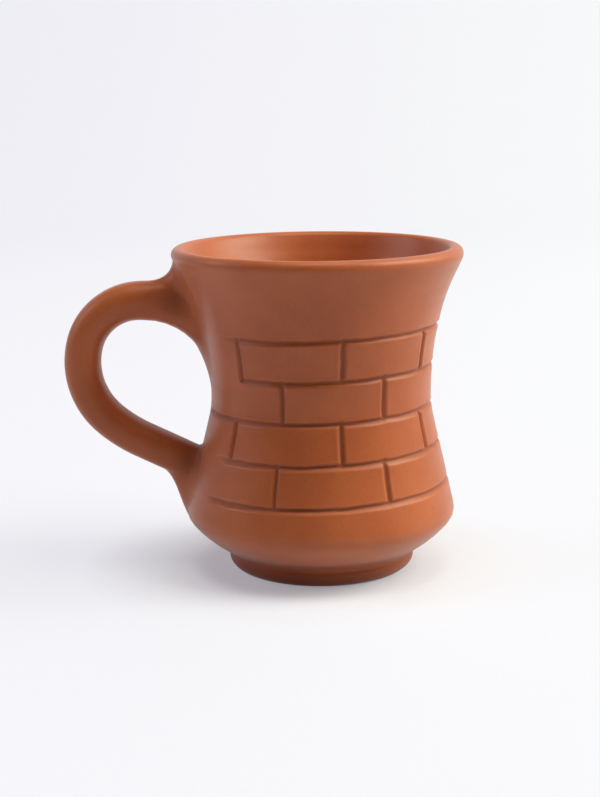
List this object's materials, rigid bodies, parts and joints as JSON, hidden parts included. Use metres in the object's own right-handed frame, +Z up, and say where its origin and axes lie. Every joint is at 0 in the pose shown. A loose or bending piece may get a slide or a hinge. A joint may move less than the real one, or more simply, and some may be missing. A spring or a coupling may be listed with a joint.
{
  "type": "mug",
  "caption": "Waisted terracotta mug with a flared lip, an ear handle, a foot ring and a carved brick-course band, for hot and cold drinks.",
  "frame": {"origin": "centre of the foot's standing plane, on the cup's axis", "axes": "+Z up along the cup's axis, -X towards the handle, +Y to the back of the mug when the handle is on the left"},
  "size_m": [0.1224, 0.088, 0.0996],
  "materials": {
    "burnished_clay": "unglazed, burnished to a soft satin",
    "handle_clay": "unglazed, smoothed by hand",
    "foot_clay": "unglazed, turned, worn on the tread",
    "slip_clay": "unglazed slip, wiped smooth"
  },
  "bodies": {
    "root": {"cup_body": "burnished_clay", "foot_ring": "foot_clay", "foot_slip_seam": "slip_clay", "handle": "handle_clay", "upper_slip_joint": "slip_clay", "lower_slip_joint": "slip_clay"}
  },
  "joints": []
}
